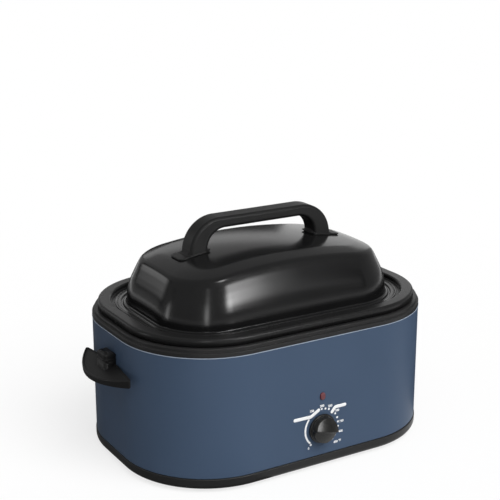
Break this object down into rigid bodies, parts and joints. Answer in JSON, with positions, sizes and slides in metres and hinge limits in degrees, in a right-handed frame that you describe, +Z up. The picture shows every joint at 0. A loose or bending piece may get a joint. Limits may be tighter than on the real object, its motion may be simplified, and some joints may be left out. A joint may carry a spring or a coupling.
{
  "type": "electric roaster oven",
  "caption": "Electric roaster oven: rounded painted casing with a heated well, lift-out black pan with wire rack, lift-off domed lid with loop handle, side handles and a heat dial.",
  "frame": {"origin": "middle of the object's footprint, on the surface that its feet stand on; the casing's own middle lies 7 mm behind it, because the knob stands out further than the cord gland", "axes": "+X along the long side, to the right for someone who faces the control panel; -Y towards that person; +Z up"},
  "size_m": [0.6462, 0.426, 0.4045],
  "materials": {
    "casing_paint": "slate blue stoved paint with a soft gloss",
    "satin_black_plastic": "satin black moulding",
    "matte_black_plastic": "fine-grained matte black moulding",
    "gloss_black_plastic": "polished black moulding",
    "dark_enamel": "dark enamelled steel",
    "pan_coating": "satin black non-stick coating",
    "lid_enamel": "glossy black enamel",
    "rack_chrome": "bright chrome wire",
    "red_lens": "translucent red lens",
    "lamp_glass": "clear neon tube",
    "bright_steel": "zinc-plated steel",
    "aluminised_sheet": "dull aluminised sheet",
    "brass": "plain brass",
    "copper_tube": "drawn copper",
    "ceramic": "white glazed ceramic",
    "brown_resin": "brown phenolic moulding",
    "mica_band": "mica-faced glass cloth",
    "glass_fibre": "felted glass fibre",
    "lead_sleeve": "braided glass sleeve",
    "rubber_feet": "soft black rubber"
  },
  "bodies": {
    "base": {"outer_casing": "casing_paint", "top_collar": "satin_black_plastic", "base_tray": "satin_black_plastic", "tray_rivets": "bright_steel", "collar_screws": "bright_steel", "heating_well": "dark_enamel", "heating_band": "mica_band", "band_strap": "bright_steel", "strap_bolt": "bright_steel", "insulation_left": "glass_fibre", "insulation_right": "glass_fibre", "heat_shield": "aluminised_sheet", "well_posts": "bright_steel", "thermostat_body": "brown_resin", "thermostat_nut": "brass", "sensor_bulb": "copper_tube", "thermal_fuse": "bright_steel", "wall_saddles": "bright_steel", "terminal_block": "ceramic", "terminal_screws": "brass", "internal_leads": "lead_sleeve", "indicator_lens": "red_lens", "indicator_lamp": "lamp_glass", "lens_clip": "bright_steel", "side_handle_left": "matte_black_plastic", "side_handle_right": "matte_black_plastic", "handle_backing_plates": "bright_steel", "side_handle_screws": "bright_steel", "cord_gland": "matte_black_plastic", "gland_nut": "matte_black_plastic", "foot_front_left": "rubber_feet", "foot_front_right": "rubber_feet", "foot_rear_left": "rubber_feet", "foot_rear_right": "rubber_feet"},
    "knob": {"thermostat_shaft": "bright_steel", "knob_spring_clip": "bright_steel", "control_knob": "gloss_black_plastic"},
    "pan": {"cooking_pan": "pan_coating"},
    "rack": {"rack_frame": "rack_chrome", "rack_cross_wires": "rack_chrome", "rack_long_wires": "rack_chrome", "rack_handles": "rack_chrome"},
    "lid": {"lid_shell": "lid_enamel", "lid_handle": "matte_black_plastic", "lid_handle_pads": "rubber_feet", "lid_washers": "bright_steel", "lid_screws": "bright_steel"}
  },
  "joints": [
    {"name": "pan_lift", "type": "slide", "parent": "base", "child": "pan", "axis": [0, 0, 1], "range_m": [0, 0.2183]},
    {"name": "lid_lift", "type": "slide", "parent": "pan", "child": "lid", "axis": [0, 0, 1], "range_m": [0, 0.1155]},
    {"name": "rack_lift", "type": "slide", "parent": "pan", "child": "rack", "axis": [0, 0, 1], "range_m": [0, 0.03]},
    {"name": "knob_turn", "type": "hinge", "parent": "base", "child": "knob", "pos_m": [0.004, -0.19, 0.073], "axis": [0, 1, 0], "range_deg": [-57.6, 212.4]}
  ]
}
